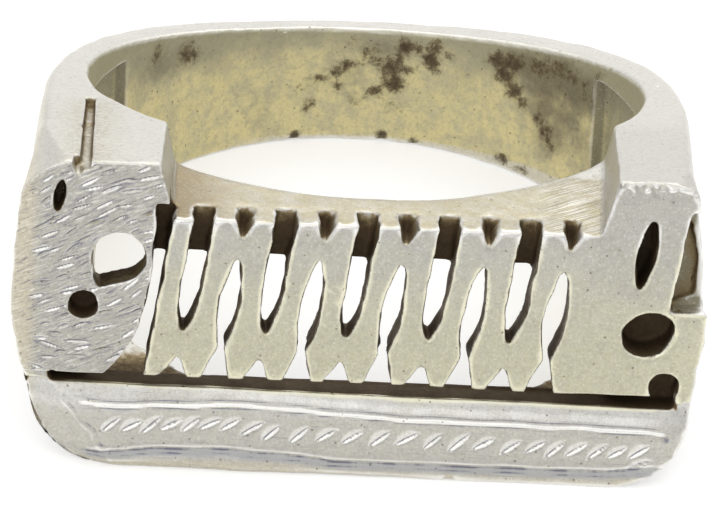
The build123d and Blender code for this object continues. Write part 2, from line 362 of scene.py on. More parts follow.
def bar_lines(co):
    """Depth, painted light and painted cool shade of the lines along the bar.

    Above the rope runs a ridge with a painted highlight between two thin cuts painted dark, with a painted
    pale band over it. Below it runs the wavy groove: two broken cuts painted dark in a trough with painted
    cool shade, under a low brow. There are painted dark reflections at the right end, and a painted dark
    line of shade where the left end is filed away.
    """
    x, y, z = co.T
    front = y < FACE_Y + 0.5
    on_bar = front & (z < BAR_TOP - 0.05) & between(x, -10.2, 10.3)
    share = np.where(on_bar, smoothstep(-9.5, -8.8, x) * smoothstep(10.2, 9.6, x), 0)
    flat = np.column_stack([x, 0 * x, z * 0.3])
    broken = np.clip(0.68 + 0.18 * waves(flat, 0.22, 9) + 0.25 * waves(flat, 0.9, 10), 0.3, 1)
    wobble = 0.015 * np.sin(x * 2.7 + 1)
    ridge = z - course(x, RIDGE_COURSE) - wobble
    groove = z - course(x, GROOVE_COURSE) - wobble
    depth = np.zeros(len(co))
    paint = np.zeros(len(co))
    for away, strength, lines in ((ridge, 1, RIDGE_LINES), (groove, broken, GROOVE_LINES)):
        for middle, width, power, deep, looks in lines:
            line = bell(away, middle, width, power) * strength
            depth += deep * line
            paint += looks * line

    # the trough is sunk, and carries painted cool shade
    trough = smoothstep(-0.31, -0.24, groove) * smoothstep(0.06, 0.0, groove)
    brow = smoothstep(0.06, 0.11, groove) * smoothstep(0.24, 0.18, groove)
    brown = bell(groove, 0.26, 0.03) * smoothstep(-2.5, -5.0, x)
    # painted highlight: a pale band above the ridge
    pale = smoothstep(0.13, 0.20, ridge) * smoothstep(0.62, 0.35, ridge) * smoothstep(-8.0, -4.0, x)
    depth += 0.04 * trough
    depth -= 0.03 * brow
    paint += 0.18 * brow - 0.4 * brown + 0.40 * pale * (0.8 + 0.4 * broken)

    rope = z - course(x, ROPE_COURSE)
    # painted dark reflections at the right end
    marks = np.zeros(len(co))
    for place, height, wide, high, rise in END_MARKS:
        marks += bell(x, place, wide) * bell(rope - (x - place) * rise, height, high)
    # painted dark line of shade along the edge where the left end is filed away
    beside = left_of_facet(x, z) + 0.05 * waves(co, 0.5, 13)
    seam_shade = bell(beside, -0.08, 0.05) * front * between(z, -4.7, -2.9)
    dark = 0.7 * seam_shade * broken + 0.9 * marks * broken * front
    return depth * share + 0.05 * seam_shade, paint * share - dark, trough * share


# Where the bar's left end is filed away: x and z of both ends of the edge in mm, and how steeply
FACET_START = (-10.0, -2.75)
FACET_END = (-8.45, -4.85)
FACET_SLOPE = 0.42

# Where the right ends start to round off, in mm, and how quickly
ROUND_X = 9.9
ROUND_BEND = 0.42


def left_of_facet(x, z):
    """How far a point lies to the left of the edge where the bar's left end is filed away, in mm."""
    run = FACET_END[0] - FACET_START[0]
    fall = FACET_END[1] - FACET_START[1]
    return (fall * (x - FACET_START[0]) - run * (z - FACET_START[1])) / math.hypot(run, fall)


def end_facets(co):
    """Depth of the ends: a flat facet at the bar's left, and a round at the right of bar and plate.

    The round fades out up the plate, and to the back.
    """
    x, y, z = co.T
    front = (y < FACE_Y + 0.45) & (z < BAR_TOP)
    facet = np.clip(left_of_facet(x, z), 0, 2) * FACET_SLOPE
    roll = np.clip(x - ROUND_X, 0, 2) ** 2 * ROUND_BEND
    fade = smoothstep(0.6, -2.2, z) * smoothstep(FACE_Y + 1.9, FACE_Y + 0.1, y)
    return np.where(front, facet, 0) + roll * fade


# Nicks on the lower edge of the hole and on the corners of the block and the bud
# columns: x, y, z of the middle, reach along each axis, all in mm, and depth
NICKS = [
    (-2.10, 9.20, -1.95, 0.16, 0.20, 0.22, 0.12),
    (1.00, 9.45, -1.90, 0.20, 0.20, 0.26, 0.13),
    (2.10, 9.25, -1.98, 0.14, 0.20, 0.18, 0.10),
    (5.20, 7.90, -1.95, 0.22, 0.25, 0.22, 0.12),
    (5.95, 7.40, -2.12, 0.24, 0.25, 0.20, 0.10),
    (-9.70, FACE_Y, 5.30, 0.18, 0.25, 0.14, 0.08),
    (-7.30, FACE_Y, 5.35, 0.14, 0.25, 0.16, 0.08),
    (-6.90, FACE_Y, 4.50, 0.14, 0.25, 0.22, 0.06),
    (7.70, FACE_Y, 5.30, 0.20, 0.25, 0.22, 0.08),
]


def nicks(co):
    """How far the nicks press in at each point."""
    push = np.zeros(len(co))
    for x, y, z, wide, deep, high, depth in NICKS:
        away = ((co[:, 0] - x) / wide) ** 2 + ((co[:, 1] - y) / deep) ** 2 + ((co[:, 2] - z) / high) ** 2
        push += depth * np.exp(-away)
    return push


# Small pits: how many, the radii in mm that they have, how common each is, and the deepest, in mm
PITS = 170
PIT_RADII = [0.09, 0.12, 0.16, 0.3]
PIT_ODDS = [0.45, 0.3, 0.17, 0.08]
PIT_DEPTH = 0.055


def pits(co):
    """How far the small pits and dents, which are all over, press in at each point."""
    rng = np.random.default_rng(23)
    push = np.zeros(len(co))
    seats = rng.integers(0, len(co), PITS)
    for seat in seats:
        radius = rng.choice(PIT_RADII, p=PIT_ODDS)
        reach = np.abs(co - co[seat]).max(axis=1) < radius
        away = np.linalg.norm(co[reach] - co[seat], axis=1) / radius
        push[reach] += np.clip(1 - away**2, 0, 1) ** 2 * min(radius * 0.4, PIT_DEPTH)
    return push


def refined(piece):
    """Finer faces where the cuts lie: on the block's face and along the rope."""
    mesh = piece.data
    work = bmesh.new()
    work.from_mesh(mesh)
    work.faces.ensure_lookup_table()
    chosen = set()
    for face in work.faces:
        place = face.calc_center_median()
        if place.y > FACE_Y + 0.06 or face.normal.y > -0.9:
            continue
        block_edge = BLOCK_EDGE + 0.05 - max(SADDLE_Z - place.z, 0) * BLOCK_LEAN
        on_block = place.z > BLOCK_FOOT + 0.1 and place.x < block_edge
        on_rope = -8.8 < place.x < 10.0 and abs(place.z - bar_height(place.x, ROPE_Z)) < 0.42
        if on_block or on_rope:
            chosen.update(face.edges)
    bmesh.ops.subdivide_edges(work, edges=list(chosen), cuts=1, use_grid_fill=True)
    work.to_mesh(mesh)
    work.free()


def levelled(co):
    """Fills the plain rope marks of the CAD, so that the finer ones can take their place."""
    x, y, z = co.T
    band = (np.abs(z - bar_height(x, ROPE_Z)) < 0.5) & between(x, -9.2, 10.4)
    co[band & between(y, FACE_Y - 0.05, FACE_Y + 0.13), 1] = FACE_Y


def as_share(values):
    """Values from -1 to 1, brought to 0 to 1, as the material reads them."""
    return np.clip(values, -1, 1) * 0.5 + 0.5


def worn(piece):
    """Cuts, filed ends, pits, nicks and handmade unevenness in the ring's skin.

    Marks the painted highlights and shade of the cuts and the bar's lines, the cuts' walls painted pale and
    the trough's painted cool shade.
    """
    mesh = piece.data
    co = points_of(mesh)
    normals = normals_of(mesh)
    levelled(co)
    edges, count = neighbours(mesh)
    inside = spread((normals[:, 1] < FRONT).astype(float), edges, count, 12)
    cut, cut_paint, facet = engraved(co, normals, inside)
    line, line_paint, trough = bar_lines(co)
    depth = cut + line + end_facets(co)
    sway = 0.006 * waves(co, 1.3, 1) + 0.012 * waves(co, 3.5, 2)
    x, y, z = co.T
    crumbled = np.exp(-((y - FACE_Y) / 0.16) ** 2 - ((z - 5.3) / 0.22) ** 2) * (x > 7.5)
    push = pits(co) + nicks(co) + sway + 0.045 * crumbled * waves(co, 0.28, 7)
    hammer = 0.02 * waves(co, 0.8, 3)
    openwork = (y < FACE_Y + 1.3) & between(z, -2.6, 3.6) & (np.abs(normals[:, 0]) > 0.6)
    co[:, 1] += depth
    co -= normals * push[:, None]
    co[openwork, 0] += hammer[openwork]
    set_points(mesh, co)
    # painted light: highlights and shade of the cuts, their walls painted pale, and the trough's painted
    # shade
    mark(mesh, "paint", as_share(cut_paint + line_paint))
    mark(mesh, "facet", facet)
    mark(mesh, "trough", trough)


def thinned(piece):
    """Fewer faces: the plain parts of the ring are thinned sooner than those that are cut."""
    mesh = piece.data
    co = points_of(mesh)
    facing = normals_of(mesh)[:, 1] < -0.3
    fine = facing & (co[:, 1] < FACE_Y + 0.3) & (block_face(co) | (co[:, 2] < BAR_TOP - 0.1))
    group = piece.vertex_groups.new(name="plain")
    group.add([int(i) for i in np.nonzero(~fine)[0]], PLAIN_WEIGHT, "REPLACE")
    count = sum(len(p.vertices) - 2 for p in mesh.polygons)
    decimate = piece.modifiers.new("decimate", "DECIMATE")
    decimate.ratio = TRIANGLES / count
    decimate.vertex_group = "plain"
    decimate.vertex_group_factor = EVENNESS
    applied(piece)
    piece.vertex_groups.clear()


# What the material reads

def neighbours(mesh):
    edges = np.empty(len(mesh.edges) * 2, np.int64)
    mesh.edges.foreach_get("vertices", edges)
    edges = edges.reshape(-1, 2)
    count = np.bincount(edges.ravel(), minlength=len(mesh.vertices)).astype(float)
    return edges, np.maximum(count, 1)


def spread(values, edges, count, times):
    """Values averaged over the neighbours of each point, a few times over."""
    for _ in range(times):
        total = values.copy()
        np.add.at(total, edges[:, 0], values[edges[:, 1]])
        np.add.at(total, edges[:, 1], values[edges[:, 0]])
        values = total / (count + 1)[:, None] if values.ndim > 1 else total / (count + 1)
    return values


# Turn between one ray and the next, in radians, which spreads them evenly, and how far off the surface
# they start, in mm
GOLDEN_ANGLE = 2.399963
CLEARANCE = 0.02


def closed_in(mesh, reach=2.2, rays=14):
    """Share of the directions that are blocked close by, for each point: brown dirt gathers there, and
    painted shade darkens it.
    """
    co = points_of(mesh)
    normals = normals_of(mesh)
    faces = [tuple(p.vertices) for p in mesh.polygons]
    tree = BVHTree.FromPolygons([tuple(c) for c in co], faces)
    rng = np.random.default_rng(3)
    hits = np.zeros(len(co))
    turn = rng.uniform(0, 2 * math.pi, len(co))
    helper = np.where(np.abs(normals[:, 2:3]) < 0.9, [[0, 0, 1.0]], [[1.0, 0, 0]])
    side = np.cross(normals, helper)
    side /= np.linalg.norm(side, axis=1)[:, None]
    other = np.cross(normals, side)
    start = [Vector(c) for c in co + normals * CLEARANCE]
    for ray in range(rays):
        lift = math.sqrt((ray + 0.5) / rays)
        flat = math.sqrt(1 - lift**2)
        angle = turn + ray * GOLDEN_ANGLE
        round_it = side * (np.cos(angle) * flat)[:, None] + other * (np.sin(angle) * flat)[:, None]
        for i, direction in enumerate(normals * lift + round_it):
            if tree.ray_cast(start[i], direction, reach)[0] is not None:
                hits[i] += 1
    return hits / rays


# Dark blotches on the inner wall
# columns: angle from the right in degrees, height in mm, half width in mm, half height in mm, strength
BLOTCHES = [
    (139, 2.20, 0.40, 0.35, 0.70),
    (130, 1.80, 0.45, 0.40, 0.80),
    (132, 0.60, 0.22, 0.18, 0.45),
    (129, -0.30, 0.25, 0.16, 0.50),
    (126, -0.15, 0.40, 0.10, 0.50),
    (124, -0.05, 0.25, 0.12, 0.45),
    (109, -1.10, 0.12, 0.60, 0.35),
    (107, -1.70, 0.20, 0.25, 0.45),
    (102, -0.05, 0.35, 0.16, 0.60),
    (100, -0.65, 0.22, 0.18, 0.85),
    (101, -0.95, 0.16, 0.14, 0.85),
    (98, 0.25, 0.40, 0.16, 0.80),
    (95, 0.50, 0.40, 0.18, 0.85),
    (92, 0.80, 0.40, 0.20, 0.85),
    (91, 1.65, 0.30, 0.25, 0.60),
    (87, 1.35, 0.35, 0.30, 0.75),
    (94, -0.05, 0.25, 0.20, 0.65),
    (90, -0.50, 0.40, 0.22, 0.60),
    (86, 1.00, 0.35, 0.20, 0.90),
    (83, 0.75, 0.35, 0.28, 1.00),
    (82, 0.20, 0.40, 0.32, 1.00),
    (86, -0.15, 0.35, 0.20, 0.85),
    (82, -0.70, 0.45, 0.35, 0.50),
    (80, 1.60, 0.28, 0.35, 0.95),
    (81, 1.15, 0.25, 0.25, 0.90),
    (79, 0.75, 0.30, 0.18, 0.80),
    (77, 1.60, 0.22, 0.25, 0.75),
    (73, 1.75, 0.28, 0.30, 0.90),
    (74, 1.20, 0.28, 0.30, 1.00),
    (73, 0.85, 0.25, 0.18, 0.75),
    (70, 1.50, 0.28, 0.25, 0.60),
    (62, 1.20, 0.10, 0.90, 0.40),
    (58, 1.75, 0.40, 0.35, 0.95),
    (55, 1.85, 0.40, 0.35, 0.95),
    (57, 1.25, 0.35, 0.35, 1.00),
    (54, 0.75, 0.35, 0.35, 0.90),
    (52, 0.40, 0.25, 0.25, 0.80),
    (47, 2.00, 0.90, 0.45, 0.75),
    (40, 2.10, 0.90, 0.45, 0.70),
    (42, 1.50, 0.70, 0.45, 0.50),
    (47, 0.05, 0.25, 0.30, 0.80),
    (45, -0.35, 0.30, 0.35, 0.85),
    (43, -0.80, 0.30, 0.30, 0.75),
    (34, 1.70, 0.45, 0.70, 0.60),
    (36, 0.60, 0.60, 0.60, 0.40),
    (29, 2.60, 0.50, 0.40, 0.50),
    (18, 1.60, 0.60, 0.25, 0.80),
    (24, 0.40, 0.60, 0.60, 0.45),
    (103, -1.95, 0.18, 0.20, 0.90),
    (84, -1.90, 0.20, 0.20, 1.00),
    (77, -1.98, 0.18, 0.15, 0.80),
    (56, -1.95, 0.30, 0.18, 0.80),
    (51, -2.15, 0.30, 0.15, 0.70),
]


# Soft grey-brown film on the inner wall, in the same columns
SMOKE = [
    (51, 1.75, 0.80, 0.40, 0.85),
    (46, 1.20, 0.80, 0.45, 0.80),
    (41, 1.85, 0.90, 0.50, 0.95),
    (35, 1.60, 0.90, 0.60, 0.90),
    (31, 1.90, 0.70, 0.60, 0.60),
    (40, 0.60, 1.00, 0.80, 0.60),
    (46, 0.50, 0.70, 0.60, 0.70),
    (56, 1.60, 0.50, 0.50, 0.60),
    (43, -0.40, 0.80, 0.70, 0.60),
    (34, -0.10, 1.30, 0.90, 0.45),
    (24, 1.50, 0.90, 0.60, 0.55),
    (84, 1.55, 1.20, 0.35, 0.40),
    (92, 0.40, 0.70, 0.60, 0.30),
    (136, 1.80, 1.30, 0.50, 0.40),
    (112, -0.90, 0.60, 0.60, 0.25),
]


def blotch_field(co, rows):
    """Strength at each point of the marks that a table lists on the inner wall."""
    x, y, z = co.T
    angle = np.degrees(np.arctan2(y, x))
    field = np.zeros(len(co))
    for centre, height, wide, high, strength in rows:
        across = (angle - centre) * math.radians(1) * BORE / wide
        up = (z - height) / high
        field = np.maximum(field, strength * np.exp(-0.45 * (across**2 + up**2)))
    return field


def mark(mesh, name, values):
    attribute = mesh.attributes.new(name, "FLOAT", "POINT")
    attribute.data.foreach_set("value", values.astype(np.float32))


def mark_edges(piece):
    """Writes how sharply the surface turns at each point, while the faces are all of a size."""
    mesh = piece.data
    co = points_of(mesh)
    edges, count = neighbours(mesh)
    pull = spread(co, edges, count, 3) - co
    edge = spread(-(pull * normals_of(mesh)).sum(axis=1), edges, count, 1)
    mark(mesh, "edge", as_share(edge * 40))


def marked(piece):
    """Writes what else the material reads on to the mesh's points: dirt and painted shade, and the parts of
    the ring.
    """
    mesh = piece.data
    co = points_of(mesh)
    normals = normals_of(mesh)
    edges, count = neighbours(mesh)
    x, y, z = co.T
    radius = np.hypot(x, y)
    inward = -(normals[:, 0] * x + normals[:, 1] * y) / np.maximum(radius, 0.1)
    upward = smoothstep(0.5, 0.8, normals[:, 2])
    on_saddle = y < -7
    inner = smoothstep(BORE + 0.55, BORE + 0.3, radius) * smoothstep(0.5, 0.8, inward)
    face = smoothstep(FACE_Y + 0.9, FACE_Y + 0.5, y) * smoothstep(0.5, 0.8, -normals[:, 1])
    side_hollow = between(radius, BORE + 0.07, BORE + 0.62) & between(y, 0.4, 4.95) & (np.abs(z) < 2.5)
    step = (x > 9.2) & (normals[:, 0] < 0.3) & between(y, FACE_Y + 0.35, FACE_Y + 2.0) & between(z, 0.4, 4.3)
    marks = {
        # brown dirt and painted shade where the metal is closed in
        "dirt": spread(closed_in(mesh), edges, count, 2),
        "stain": bell(x, -9.25, 0.8) * upward * smoothstep(-3.2, -5.5, y),
        "inner": inner,
        "blotch": blotch_field(co, BLOTCHES) * inner,
        "smoke": blotch_field(co, SMOKE) * inner,
        # surfaces that face up, which get painted light
        "top": smoothstep(0.35, 0.7, normals[:, 2]) * (z > 1.5) * ~(on_saddle & (z < 4.0)),
        "face": face,
        "block": face * block_face(co),
        "bar": face * (z < BAR_TOP),
        "seat": upward * smoothstep(4.3, 3.9, z) * (z > 2.6) * on_saddle,
        "hollow": side_hollow | step,
    }
    for name, values in marks.items():
        mark(mesh, name, values)


# Material

class Graph:
    """Short names for the nodes of one material."""

    def __init__(self, material):
        self.tree = material.node_tree
        self.tree.nodes.clear()

    def node(self, kind, **settings):
        node = self.tree.nodes.new(kind)
        for name, value in settings.items():
            setattr(node, name, value)
        return node

    def feed(self, socket, value):
        if isinstance(value, bpy.types.NodeSocket):
            self.tree.links.new(value, socket)
        else:
            socket.default_value = value

    def math(self, operation, values, clamp=False):
        """The operation on the first two values, then on its result and the next value, and so on."""
        result = values[0]
        for value in values[1:]:
            node = self.node("ShaderNodeMath", operation=operation, use_clamp=clamp)
            self.feed(node.inputs[0], result)
            self.feed(node.inputs[1], value)
            result = node.outputs[0]
        return result

    def times(self, *values):
        return self.math("MULTIPLY", values)

    def plus(self, *values, clamp=False):
        return self.math("ADD", values, clamp)

    def minus(self, *values, clamp=False):
        return self.math("SUBTRACT", values, clamp)

    def most(self, *values):
        return self.math("MAXIMUM", values)

    def swing(self, noise, weight):
        """A noise around nought, that many times as strong."""
        return self.times(self.minus(noise, 0.5), weight)

    def step(self, value, low, high):
        """From 0 at low to 1 at high, smoothly. Low may be the larger one."""
        node = self.node("ShaderNodeMapRange", interpolation_type="SMOOTHSTEP")
        self.feed(node.inputs["Value"], value)
        node.inputs["From Min"].default_value = low
        node.inputs["From Max"].default_value = high
        return node.outputs["Result"]

    def within(self, value, start, full, fade, end):
        """Rises from start to full, and falls again from fade to end."""
        return self.times(self.step(value, start, full), self.step(value, end, fade))

    def mix(self, share, a, b):
        node = self.node("ShaderNodeMix", data_type="RGBA", blend_type="MIX")
        self.feed(node.inputs["Factor"], share)
        self.feed(node.inputs["A"], a)
        self.feed(node.inputs["B"], b)
        return node.outputs["Result"]

    def layer(self, under, over, *shares):
        """One colour laid over another, as strongly as the shares' product says."""
        return self.mix(self.times(*shares), under, over)

    def noise(self, place, scale, detail, rough, warp=0.0):
        node = self.node("ShaderNodeTexNoise")
        self.feed(node.inputs["Vector"], place)
        node.inputs["Scale"].default_value = scale
        node.inputs["Detail"].default_value = detail
        node.inputs["Roughness"].default_value = rough
        node.inputs["Distortion"].default_value = warp
        return node.outputs["Fac"]

    def value(self, name):
        return self.node("ShaderNodeAttribute", attribute_name=name).outputs["Fac"]


def ring_place(graph):
    """Coordinates in millimetres in the ring's frame."""
    coords = graph.node("ShaderNodeTexCoord").outputs["Object"]
    mapping = graph.node("ShaderNodeMapping", vector_type="POINT")
    graph.feed(mapping.inputs["Vector"], coords)
    mapping.inputs["Scale"].default_value = (1 / MM, 1 / MM, 1 / MM)
    mapping.inputs["Rotation"].default_value = (math.radians(TILT), 0, 0)
    mapping.inputs["Location"].default_value = -(Matrix.Rotation(math.radians(TILT), 3, "X") @ HOLE)
    return mapping.outputs["Vector"]


def stretched(graph, place, size, turn):
    """Coordinates for a noise of streaks: their size in mm along each axis, and their turn in degrees."""
    mapping = graph.node("ShaderNodeMapping", vector_type="TEXTURE")
    graph.feed(mapping.inputs["Vector"], place)
    mapping.inputs["Scale"].default_value = size
    mapping.inputs["Rotation"].default_value = [math.radians(angle) for angle in turn]
    return mapping.outputs["Vector"]


SILVER = (0.62, 0.61, 0.575, 1)
BRIGHT = (0.90, 0.89, 0.85, 1)
CREAM = (0.80, 0.77, 0.58, 1)
STRAW = (0.52, 0.50, 0.37, 1)
LIT_SILVER = (0.73, 0.705, 0.635, 1)
SHADE = (0.455, 0.442, 0.395, 1)
STONE = (0.415, 0.40, 0.355, 1)
CHALK = (0.78, 0.76, 0.68, 1)
SAND = (0.62, 0.56, 0.41, 1)
DUST = (0.54, 0.52, 0.465, 1)
COOL = (0.40, 0.41, 0.43, 1)
TAN = (0.50, 0.44, 0.28, 1)
YELLOW = (0.75, 0.665, 0.355, 1)
PALE = (0.60, 0.55, 0.34, 1)
GREY = (0.43, 0.40, 0.27, 1)
OLIVE = (0.36, 0.33, 0.20, 1)
MOSS = (0.20, 0.175, 0.085, 1)
FILM = (0.13, 0.105, 0.06, 1)
VIOLET = (0.22, 0.20, 0.24, 1)
INK = (0.17, 0.17, 0.225, 1)
EARTH = (0.32, 0.25, 0.135, 1)
BROWN = (0.115, 0.08, 0.043, 1)
SOOT = (0.05, 0.035, 0.022, 1)


# What the mesh's points are marked with
MARKS = ["dirt", "stain", "inner", "blotch", "smoke", "top", "face", "block", "bar", "seat", "hollow",
         "paint", "facet", "trough", "edge"]

# Noises: bumps for each mm, detail and roughness
NOISES = {
    "cloud": (0.55, 4.0, 0.6),
    "patch": (1.7, 5.0, 0.6),
    "grain": (5.5, 5.0, 0.65),
    "speck": (13.0, 4.0, 0.7),
    "fine": (26.0, 3.0, 0.6),
}

# Noises of streaks: their size in mm along each axis, turn in degrees, detail, roughness and warp
# filed: on the saddle's right end; hair: on the block; streak: along the bar; scratch: all over
STREAKS = {
    "filed": ((1.6, 0.06, 0.06), (0, 0, 38), 2.0, 0.5, 0.0),
    "hair": ((0.5, 0.08, 0.055), (0, -24, 0), 3.0, 0.6, 0.5),
    "streak": ((2.2, 0.05, 0.05), (0, BAR_DROP, 0), 3.0, 0.6, 0.0),
    "scratch": ((0.9, 0.05, 0.05), (0, 20, 35), 2.0, 0.5, 0.0),
}

# Parts of the ring for which there is no mark: the slot above the bar, with dirt and painted shade, and the
# ledge over it
# rows: across, depth and height; columns: where it starts, is full, starts to fade, and ends, in mm
SLOT = [
    (-10.5, -10.4, 10.3, 10.4),
    (FACE_Y + 0.31, FACE_Y + 0.40, FACE_Y + 1.5, FACE_Y + 1.6),
    (-3.1, -3.0, -1.9, -1.8),
]
LEDGE = [
    (-9.9, -9.5, 9.5, 9.9),
    (FACE_Y + 0.20, FACE_Y + 0.26, FACE_Y + 0.32, FACE_Y + 0.36),
    (-2.78, -2.72, -2.3, -2.2),
]


def box(graph, at, sides):
    """One within the three sides of a box, and nought outside it."""
    axes = (at.across, at.depth, at.height)
    return graph.times(*(graph.within(axis, *side) for axis, side in zip(axes, sides)))


def read(graph):
    """What the colours are made from: the place on the ring, the marks, the noises, dirt and wear."""
    at = SimpleNamespace(place=ring_place(graph))
    split = graph.node("ShaderNodeSeparateXYZ")
    graph.feed(split.inputs[0], at.place)
    at.across = split.outputs["X"]
    at.depth = split.outputs["Y"]
    at.height = split.outputs["Z"]
    for name in MARKS:
        setattr(at, name, graph.value(name))
    for name, settings in NOISES.items():
        setattr(at, name, graph.noise(at.place, *settings))
    for name, (size, turn, *settings) in STREAKS.items():
        setattr(at, name, graph.noise(stretched(graph, at.place, size, turn), 1.0, *settings))

    # the face without the leaf block and the bar
    at.plain = graph.minus(at.face, graph.plus(at.block, at.bar), clamp=True)

    # dirt and painted shade where the metal is closed in, in the slot above the bar and in the pocket behind
    # the plate
    shut = graph.plus(at.height, graph.times(at.grain, 1.2))
    pocket = graph.times(
        graph.within(at.depth, FACE_Y + 0.8, FACE_Y + 1.0, -7.5, -5.0),
        graph.times(graph.step(shut, 3.4, 2.2), graph.step(at.height, -4.6, -4.2)),
        graph.within(at.across, -9.7, -9.4, 8.8, 9.2),
    )
    at.dirt = graph.most(at.dirt, graph.times(box(graph, at, SLOT), 0.70), graph.times(pocket, 0.58))
    soil = graph.plus(at.dirt, graph.swing(at.grain, 0.35))
    at.soil = graph.minus(soil, graph.times(at.hollow, 0.25), graph.times(at.stain, 0.13))

    # blotches with ragged edges
    at.torn = graph.minus(graph.noise(at.place, 3.2, 8.0, 0.75, 0.4), 0.5)
    at.ragged = graph.plus(at.blotch, graph.times(at.torn, 1.9))
    at.spots = graph.step(at.ragged, 0.40, 0.80)

    # edges that wear has polished and that carry a painted highlight, less so where it is dirty or closed in
    # and at the top
    clean_and_open = graph.minus(1.0, graph.step(at.dirt, 0.45, 0.7))
    lower = graph.minus(1.0, graph.times(at.top, 0.6))
    at.polish = graph.times(graph.step(at.edge, 0.62, 0.86), clean_and_open, lower)

    # tiny dark pits
    cells = graph.node("ShaderNodeTexVoronoi", feature="F1")
    graph.feed(cells.inputs["Vector"], at.place)
    cells.inputs["Scale"].default_value = 2.8
    dots = graph.minus(1.0, graph.step(cells.outputs["Distance"], 0.07, 0.14))
    at.dots = graph.times(dots, graph.step(at.grain, 0.44, 0.54))
    return at


def metal_tones(graph, at, colour):
    """Grey silver at the top of the face, straw-coloured tarnish towards its foot, painted shade on the
    plain face, and painted light on the surfaces that face up.
    """
    low = graph.step(graph.plus(at.height, graph.times(at.patch, 3.0)), 5.6, 0.6)
    dusty = graph.step(graph.plus(at.height, graph.times(at.patch, 0.8)), -2.6, -3.2)
    bud = graph.times(
        graph.step(at.across, 6.8, 7.6),
        graph.step(at.height, 1.0, 2.5),
        graph.step(at.depth, -4.0, -6.0),
    )
    colour = graph.layer(colour, STRAW, graph.step(at.cloud, 0.42, 0.72), 0.35)
    # painted shade on the plain face
    colour = graph.layer(colour, SHADE, at.plain, 0.9)
    colour = graph.layer(colour, DUST, at.bar, dusty)
    colour = graph.layer(colour, SAND, at.bar, graph.step(at.height, -4.9, -5.15), 0.5)
    colour = graph.layer(colour, STONE, at.block, 0.85)
    # painted light on the surfaces that face up
    colour = graph.layer(colour, LIT_SILVER, at.top, 0.9)
    colour = graph.layer(colour, SAND, graph.step(at.across, -10.6, -11.2), 0.7)
    colour = graph.layer(colour, STRAW, at.plain, low, 0.95)
    return graph.layer(colour, STONE, bud, 0.22)


def films(graph, at, colour):
    """Tan film on the saddle, darker at its left end, file marks at its right one, and mossy hollows."""
    film = graph.step(graph.plus(at.patch, graph.times(at.grain, 0.3)), 0.40, 0.80)
    left_end = graph.step(graph.plus(at.across, graph.times(at.grain, 3.0)), -2.6, -4.8)
    right_end = graph.times(at.seat, graph.step(at.across, 5.2, 6.2))
    colour = graph.layer(colour, TAN, at.seat, graph.plus(graph.times(film, 0.5), 0.4))
    colour = graph.layer(colour, TAN, at.stain, graph.step(at.grain, 0.30, 0.60), 0.65)
    colour = graph.layer(colour, EARTH, at.seat, left_end, 0.95)
    colour = graph.layer(colour, MOSS, right_end, graph.step(at.filed, 0.54, 0.64), 0.6)
    colour = graph.layer(colour, BRIGHT, right_end, graph.step(at.filed, 0.46, 0.38), 0.6)
    return graph.layer(colour, MOSS, at.hollow, 0.8)


def inner_wall(graph, at, colour):
    """The inner wall: yellow, with a grey zone below the upper rim, smoke, and a painted reflection along
    the foot.
    """
    grey_zone = graph.step(graph.plus(at.height, graph.times(at.cloud, 3.0)), 2.1, 3.6)
    smoky = graph.step(graph.plus(at.smoke, graph.swing(at.patch, 0.6)), 0.05, 0.8)
    foot_reflection = graph.step(graph.plus(at.height, graph.times(at.grain, 0.25)), -1.72, -1.86)
    back = graph.times(graph.step(at.depth, 3.0, 7.0), graph.step(at.across, -5.0, -2.0))
    patina = graph.mix(graph.step(at.patch, 0.38, 0.66), YELLOW, PALE)
    patina = graph.mix(grey_zone, patina, GREY)
    patina = graph.layer(patina, OLIVE, graph.step(at.grain, 0.52, 0.75), 0.35)
    patina = graph.layer(patina, FILM, smoky, 0.86)
    # painted reflection along the rounded lower edge
    patina = graph.layer(patina, LIT_SILVER, foot_reflection, back, 0.8)
    return graph.layer(colour, patina, at.inner, 0.95)


def mottling(graph, at, colour):
    """Fine mottling, stronger on the plain face and on the bar, and dark and pale specks."""
    tone = graph.plus(graph.swing(at.fine, 0.35), graph.swing(at.grain, 0.6))
    lively = graph.plus(graph.times(graph.plus(at.plain, at.bar), 0.6), 1.0)
    pale = graph.minus(0.5, graph.times(at.inner, 0.38))
    colour = graph.mix(graph.plus(graph.times(tone, lively), 0.03, clamp=True), colour, VIOLET)
    colour = graph.layer(colour, OLIVE, graph.step(at.speck, 0.48, 0.30), 0.50)
    return graph.layer(colour, CHALK, graph.step(at.speck, 0.53, 0.70), pale)


def soiling(graph, at, colour):
    """Brown dirt and painted shade where the metal is closed in, nearly black where there is most of it."""
    # painted shade and dirt: earth, brown and soot where the metal is closed in
    colour = graph.mix(graph.step(at.soil, 0.22, 0.46), colour, EARTH)
    colour = graph.mix(graph.step(at.soil, 0.36, 0.62), colour, BROWN)
    return graph.layer(colour, SOOT, graph.step(at.soil, 0.58, 0.92), 0.8)


def blotches(graph, at, colour):
    """Dark blotches on the inner wall, each with a soft halo."""
    halo = graph.step(graph.plus(at.blotch, graph.times(at.torn, 0.8)), 0.20, 0.75)
    colour = graph.layer(colour, OLIVE, halo, 0.5)
    colour = graph.layer(colour, BROWN, at.spots, 0.85)
    return graph.layer(colour, SOOT, graph.step(at.ragged, 0.65, 1.1), 0.7)


def hairlines(graph, at, colour):
    """Hairlines of the graver, dark and pale on the block and dark along the bar."""
    colour = graph.layer(colour, VIOLET, at.block, graph.step(at.hair, 0.56, 0.68), 0.80)
    colour = graph.layer(colour, CHALK, at.block, graph.step(at.hair, 0.45, 0.34), 0.60)
    return graph.layer(colour, VIOLET, at.bar, graph.step(at.streak, 0.58, 0.70), 0.35)


